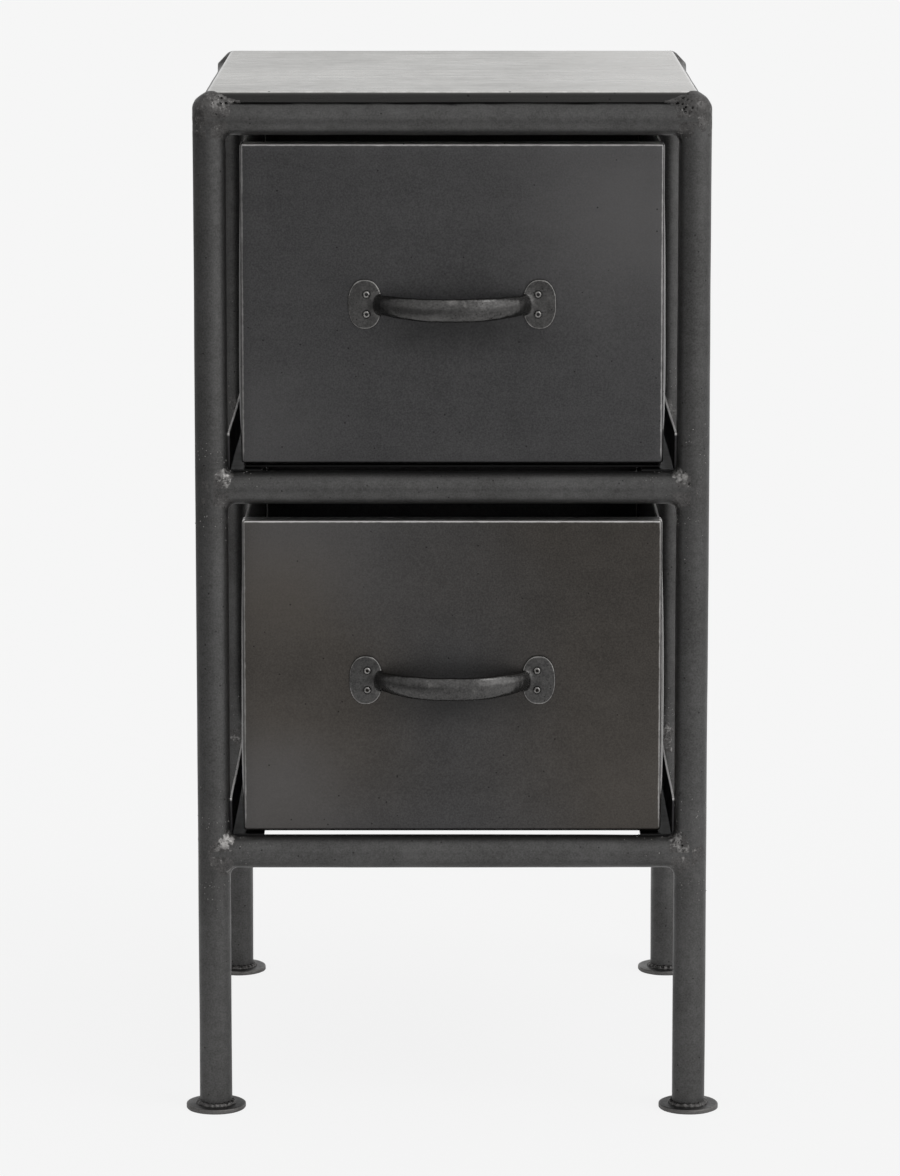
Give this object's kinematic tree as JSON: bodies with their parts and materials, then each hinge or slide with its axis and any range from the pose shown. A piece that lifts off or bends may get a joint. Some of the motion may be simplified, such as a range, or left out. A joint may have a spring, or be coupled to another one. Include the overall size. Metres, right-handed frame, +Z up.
{
  "type": "chest of drawers",
  "caption": "Small chest of sheet steel drawers in a welded round tube frame on disc feet, with a folded steel lid and riveted strap handles.",
  "frame": {"origin": "on the floor under the middle of the whole chest, handles included", "axes": "+Z up, front with the handles towards -Y, +X to the right seen from the front"},
  "size_m": [0.3496, 0.4088, 0.6676],
  "materials": {
    "frame_steel": "blackened round steel tube, satin, with heat tint near the welds",
    "foot_steel": "blackened steel disc, satin",
    "weld_metal": "weld bead, ground and blackened, with pits",
    "top_steel": "burnished bare steel sheet, streaked",
    "runner_steel": "blackened steel sheet with bare cut edges",
    "drawer_steel": "blackened steel sheet, satin, with rubbed edges",
    "handle_iron": "hand-forged iron, blackened",
    "rivet_steel": "hollow steel rivet, rubbed bright on its rim"
  },
  "bodies": {
    "frame": {"front_left_foot": "foot_steel", "front_left_leg": "frame_steel", "front_right_foot": "foot_steel", "front_right_leg": "frame_steel", "rear_left_foot": "foot_steel", "rear_left_leg": "frame_steel", "rear_right_foot": "foot_steel", "rear_right_leg": "frame_steel", "front_top_rail": "frame_steel", "front_middle_rail": "frame_steel", "front_bottom_rail": "frame_steel", "rear_top_rail": "frame_steel", "rear_middle_rail": "frame_steel", "rear_bottom_rail": "frame_steel", "left_top_rail": "frame_steel", "right_top_rail": "frame_steel", "front_weld_beads": "weld_metal", "rear_weld_beads": "weld_metal", "side_weld_beads": "weld_metal", "foot_weld_beads": "weld_metal", "runner_weld_beads": "weld_metal", "top_plate": "top_steel", "upper_right_runner": "runner_steel", "upper_left_runner": "runner_steel", "lower_right_runner": "runner_steel", "lower_left_runner": "runner_steel"},
    "upper_drawer": {"upper_drawer_shell": "drawer_steel", "upper_drawer_front": "drawer_steel", "upper_drawer_back": "drawer_steel", "upper_handle": "handle_iron", "upper_handle_rivets": "rivet_steel"},
    "lower_drawer": {"lower_drawer_shell": "drawer_steel", "lower_drawer_front": "drawer_steel", "lower_drawer_back": "drawer_steel", "lower_handle": "handle_iron", "lower_handle_rivets": "rivet_steel"}
  },
  "joints": [
    {"name": "upper_drawer_slide", "type": "slide", "parent": "frame", "child": "upper_drawer", "axis": [0, -1, 0], "range_m": [0, 0.28]},
    {"name": "lower_drawer_slide", "type": "slide", "parent": "frame", "child": "lower_drawer", "axis": [0, -1, 0], "range_m": [0, 0.28]}
  ]
}
